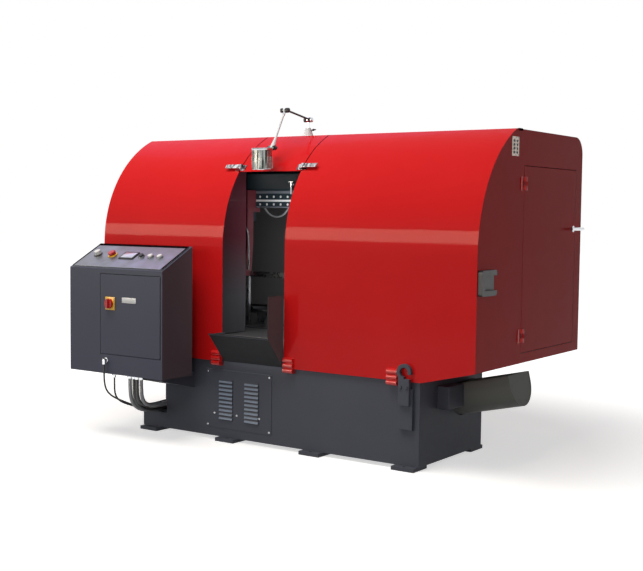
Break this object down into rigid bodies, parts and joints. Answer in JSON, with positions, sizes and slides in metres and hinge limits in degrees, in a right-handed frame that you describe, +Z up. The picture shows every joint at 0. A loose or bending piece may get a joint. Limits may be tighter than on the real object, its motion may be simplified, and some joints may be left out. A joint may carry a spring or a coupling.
{
  "type": "double column band saw",
  "caption": "Horizontal band saw under a red guard hood with a front window, chip tray, louvred grey base, operator cabinet with sloped console, work lamp and chip auger.",
  "frame": {"origin": "centre of the floor bolt pattern, on the floor", "axes": "+X to the right seen from the operator's side, +Y to the rear, +Z up"},
  "size_m": [2.5793, 1.652, 1.869],
  "materials": {
    "hood_red": "satin enamel",
    "clamp_red": "gloss enamel on castings",
    "base_grey": "textured enamel",
    "cabinet_grey": "satin enamel",
    "tray_black": "satin enamel",
    "bare_steel": "ground",
    "band_steel": "bright",
    "table_iron": "planed top",
    "frame_iron": "painted casting",
    "chrome_plate": "polished",
    "lamp_alloy": "satin",
    "console_alloy": "satin",
    "black_plastic": "moulded",
    "red_plastic": "moulded",
    "white_plastic": "moulded",
    "cable_rubber": "matte",
    "conduit_grey": "ribbed",
    "hose_grey": "matte",
    "brush_wire": "wire",
    "motor_grey": "painted finned casting"
  },
  "bodies": {
    "base": {"base_frame": "base_grey", "foot_plates": "base_grey", "service_panel": "base_grey", "lifting_lugs": "base_grey", "chip_trough": "base_grey", "conveyor_box": "base_grey", "work_table": "table_iron", "fixed_jaw": "table_iron", "vice_cylinder": "bare_steel", "columns": "chrome_plate", "column_tie": "frame_iron", "lift_cylinder": "frame_iron", "front_tray": "tray_black", "right_guard": "hood_red", "left_guard": "hood_red", "centre_panel": "hood_red", "door_hinges": "clamp_red", "guard_clamps": "clamp_red", "grab_handles": "black_plastic", "latch_plates": "chrome_plate", "cabinet_body": "cabinet_grey", "cabinet_bracket": "base_grey", "console_panel": "console_alloy", "cable_glands": "chrome_plate", "power_cables": "cable_rubber", "conduits": "conduit_grey", "lamp_base": "white_plastic"},
    "saw_frame": {"saw_beam": "frame_iron", "guide_rail": "bare_steel", "band_cover": "base_grey", "band_blade": "band_steel", "gearbox": "frame_iron", "drive_motor": "motor_grey", "right_guide_arm": "hood_red", "lift_rod": "chrome_plate", "coolant_hose": "hose_grey"},
    "drive_wheel": {"drive_wheel": "table_iron"},
    "idler_carriage": {"idler_carriage": "frame_iron"},
    "idler_wheel": {"idler_wheel": "table_iron"},
    "left_guide_arm": {"left_guide_arm": "hood_red"},
    "wire_brush": {"wire_brush": "brush_wire"},
    "moving_jaw": {"moving_jaw": "table_iron"},
    "right_door": {"right_door": "hood_red"},
    "left_door": {"left_door": "hood_red"},
    "right_door_handle": {"right_door_handle": "black_plastic"},
    "left_door_handle": {"left_door_handle": "black_plastic"},
    "left_latch_lever": {"left_latch_lever": "chrome_plate"},
    "right_latch_lever": {"right_latch_lever": "chrome_plate"},
    "cabinet_door": {"cabinet_door": "cabinet_grey"},
    "main_switch": {"main_switch": "red_plastic"},
    "speed_dial": {"speed_dial": "white_plastic"},
    "emergency_stop": {"emergency_stop": "red_plastic"},
    "jog_button": {"jog_button": "black_plastic"},
    "start_button": {"start_button": "white_plastic"},
    "feed_button": {"feed_button": "white_plastic"},
    "auger": {"auger": "bare_steel"},
    "lamp_post": {"lamp_post": "bare_steel"},
    "lamp_lower_arm": {"lamp_lower_arm": "black_plastic"},
    "lamp_upper_arm": {"lamp_upper_arm": "white_plastic"},
    "lamp_head": {"lamp_head": "lamp_alloy"}
  },
  "joints": [
    {"name": "frame_lift", "type": "slide", "parent": "base", "child": "saw_frame", "axis": [0, 0, 1], "range_m": [-0.305, 0.1]},
    {"name": "drive_wheel_spin", "type": "hinge", "parent": "saw_frame", "child": "drive_wheel", "pos_m": [0.86, -0.01264, 1.18809], "axis": [0, 0.9659, 0.2588], "continuous": true},
    {"name": "band_tension", "type": "slide", "parent": "saw_frame", "child": "idler_carriage", "axis": [1, 0, 0], "range_m": [0, 0.015]},
    {"name": "idler_wheel_spin", "type": "hinge", "parent": "idler_carriage", "child": "idler_wheel", "pos_m": [-0.86, -0.01264, 1.18809], "axis": [0, 0.9659, 0.2588], "continuous": true},
    {"name": "guide_arm_slide", "type": "slide", "parent": "saw_frame", "child": "left_guide_arm", "axis": [1, 0, 0], "range_m": [0, 0.25]},
    {"name": "brush_spin", "type": "hinge", "parent": "saw_frame", "child": "wire_brush", "pos_m": [0.4, 0.06, 0.8645], "axis": [0, 1, 0], "continuous": true},
    {"name": "vice_slide", "type": "slide", "parent": "base", "child": "moving_jaw", "axis": [1, 0, 0], "range_m": [0, 0.38]},
    {"name": "right_door_swing", "type": "hinge", "parent": "base", "child": "right_door", "pos_m": [1.259, 0.1485, 1.055], "axis": [0, 0, -1], "range_deg": [0, 110]},
    {"name": "left_door_swing", "type": "hinge", "parent": "base", "child": "left_door", "pos_m": [-1.259, 0.1485, 1.055], "axis": [0, 0, 1], "range_deg": [0, 110]},
    {"name": "right_handle_turn", "type": "hinge", "parent": "right_door", "child": "right_door_handle", "pos_m": [1.25, 0.8, 1.21], "axis": [1, 0, 0], "range_deg": [0, 90]},
    {"name": "left_handle_turn", "type": "hinge", "parent": "left_door", "child": "left_door_handle", "pos_m": [-1.25, 0.8, 1.21], "axis": [1, 0, 0], "range_deg": [0, 90]},
    {"name": "left_latch_lift", "type": "hinge", "parent": "base", "child": "left_latch_lever", "pos_m": [-0.325, -0.20598, 1.53784], "axis": [0, 0.6377, 0.7703], "range_deg": [0, 100]},
    {"name": "right_latch_lift", "type": "hinge", "parent": "base", "child": "right_latch_lever", "pos_m": [0.105, -0.20598, 1.53784], "axis": [0, -0.6377, -0.7703], "range_deg": [0, 100]},
    {"name": "cabinet_door_swing", "type": "hinge", "parent": "base", "child": "cabinet_door", "pos_m": [-0.478, -0.697, 0.706], "axis": [0, 0, 1], "range_deg": [0, 110]},
    {"name": "main_switch_turn", "type": "hinge", "parent": "cabinet_door", "child": "main_switch", "pos_m": [-0.845, -0.705, 0.767], "axis": [0, 1, 0], "range_deg": [0, 90]},
    {"name": "speed_dial_turn", "type": "hinge", "parent": "base", "child": "speed_dial", "pos_m": [-1.06, -0.584, 1.025], "axis": [0, -0.4732, 0.8809], "range_deg": [-135, 135]},
    {"name": "emergency_stop_press", "type": "slide", "parent": "base", "child": "emergency_stop", "axis": [0, 0.4732, -0.8809], "range_m": [0, 0.005], "stiffness_N_per_m": 1500},
    {"name": "jog_press", "type": "slide", "parent": "base", "child": "jog_button", "axis": [0, 0.4732, -0.8809], "range_m": [0, 0.004], "stiffness_N_per_m": 600},
    {"name": "start_press", "type": "slide", "parent": "base", "child": "start_button", "axis": [0, 0.4732, -0.8809], "range_m": [0, 0.004], "stiffness_N_per_m": 600},
    {"name": "feed_press", "type": "slide", "parent": "base", "child": "feed_button", "axis": [0, 0.4732, -0.8809], "range_m": [0, 0.004], "stiffness_N_per_m": 600},
    {"name": "auger_turn", "type": "hinge", "parent": "base", "child": "auger", "pos_m": [0.94765, 0.12, 0.32187], "axis": [0.9744, 0, 0.225], "continuous": true},
    {"name": "lamp_swivel", "type": "hinge", "parent": "base", "child": "lamp_post", "pos_m": [-0.11, 0.15, 1.772], "axis": [0, 0, 1], "range_deg": [-12, 12]},
    {"name": "lamp_lower_tilt", "type": "hinge", "parent": "lamp_post", "child": "lamp_lower_arm", "pos_m": [-0.11, 0.15, 1.818], "axis": [-1, 0, 0], "range_deg": [0, 60]},
    {"name": "lamp_elbow_tilt", "type": "hinge", "parent": "lamp_lower_arm", "child": "lamp_upper_arm", "pos_m": [-0.11, -0.075, 1.855], "axis": [-1, 0, 0], "range_deg": [0, 70]},
    {"name": "lamp_head_tilt", "type": "hinge", "parent": "lamp_upper_arm", "child": "lamp_head", "pos_m": [-0.11, -0.189, 1.64], "axis": [-1, 0, 0], "range_deg": [0, 60]}
  ],
  "couplings": [
    {"joint": "idler_wheel_spin", "follows": "drive_wheel_spin", "ratio": 1},
    {"joint": "brush_spin", "follows": "drive_wheel_spin", "ratio": -7.9}
  ]
}
